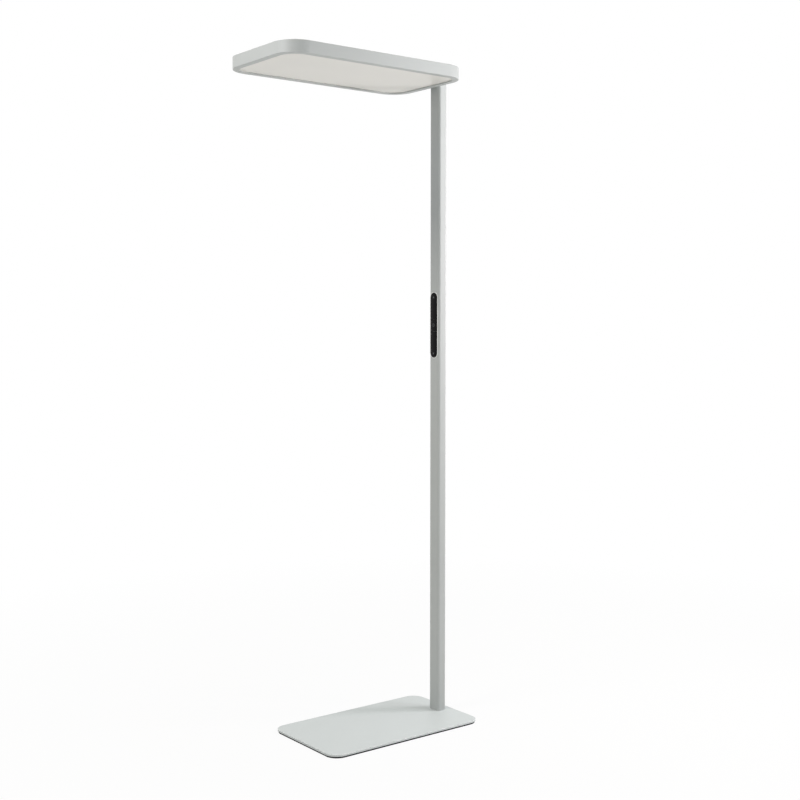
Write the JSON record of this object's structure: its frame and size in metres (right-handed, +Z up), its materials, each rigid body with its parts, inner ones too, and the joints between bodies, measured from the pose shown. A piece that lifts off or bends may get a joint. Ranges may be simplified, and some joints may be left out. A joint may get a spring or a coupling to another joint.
{
  "type": "office floor lamp",
  "caption": "Free-standing office floor lamp: flat base plate, slim mast with a three-key control strip, and a flat rounded head with an opal downlight and an uplight window.",
  "frame": {"origin": "on the mast's axis, at the underside of the anti-slip mat, where the lamp rests on the floor", "axes": "+Z up along the mast, -Y towards the front, where the head, the base and the keys face, +X to the right seen from the front"},
  "size_m": [0.336, 0.684, 1.95],
  "materials": {
    "light_paint": "satin",
    "base_paint": "satin",
    "grey_plastic": "satin",
    "mat_rubber": "matte",
    "opal": "satin",
    "clear_cover": "gloss",
    "key_black": "gloss",
    "raw_aluminium": "milled",
    "zinc_steel": "zinc plated",
    "tray_white": "satin",
    "gasket_foam": "matte",
    "board_white": "satin",
    "board_green": "satin",
    "led_yellow": "satin",
    "driver_case": "satin",
    "terminal_plastic": "satin",
    "black_plastic": "satin",
    "lead_sheath": "matte"
  },
  "bodies": {
    "lamp": {"anti_slip_mat": "mat_rubber", "base_plate": "base_paint", "foot_block": "raw_aluminium", "foot_screws": "zinc_steel", "mast_foot_screws": "zinc_steel", "mast_profile": "light_paint", "bracket_screws": "zinc_steel", "mast_top_cap": "grey_plastic", "cap_screws": "zinc_steel", "cable_gland": "black_plastic", "gland_nut": "black_plastic", "inlet_terminal": "terminal_plastic", "supply_lead": "lead_sheath", "control_lead": "black_plastic", "head_bracket": "light_paint", "backing_plate": "zinc_steel", "neck_bolts": "zinc_steel", "head_frame": "light_paint", "bottom_diffuser": "opal", "diffuser_gasket": "gasket_foam", "led_tray": "tray_white", "tray_screws": "zinc_steel", "downlight_boards": "board_white", "downlight_leds": "led_yellow", "uplight_boards": "board_white", "uplight_leds": "led_yellow", "led_driver": "driver_case", "head_terminal": "terminal_plastic", "top_cover": "light_paint", "uplight_window": "clear_cover", "cover_screws": "zinc_steel", "control_housing": "grey_plastic", "control_board": "board_green", "board_screws": "zinc_steel", "board_plug": "terminal_plastic", "switch_bodies": "black_plastic"},
    "up_button": {"up_key": "key_black", "up_actuator": "terminal_plastic"},
    "power_button": {"power_key": "key_black", "power_actuator": "terminal_plastic"},
    "down_button": {"down_key": "key_black", "down_actuator": "terminal_plastic"}
  },
  "joints": [
    {"name": "up_press", "type": "slide", "parent": "lamp", "child": "up_button", "axis": [0, 1, 0], "range_m": [0, 0.0008], "stiffness_N_per_m": 600, "springref_m": -0.002},
    {"name": "power_press", "type": "slide", "parent": "lamp", "child": "power_button", "axis": [0, 1, 0], "range_m": [0, 0.0008], "stiffness_N_per_m": 600, "springref_m": -0.002},
    {"name": "down_press", "type": "slide", "parent": "lamp", "child": "down_button", "axis": [0, 1, 0], "range_m": [0, 0.0008], "stiffness_N_per_m": 600, "springref_m": -0.002}
  ]
}
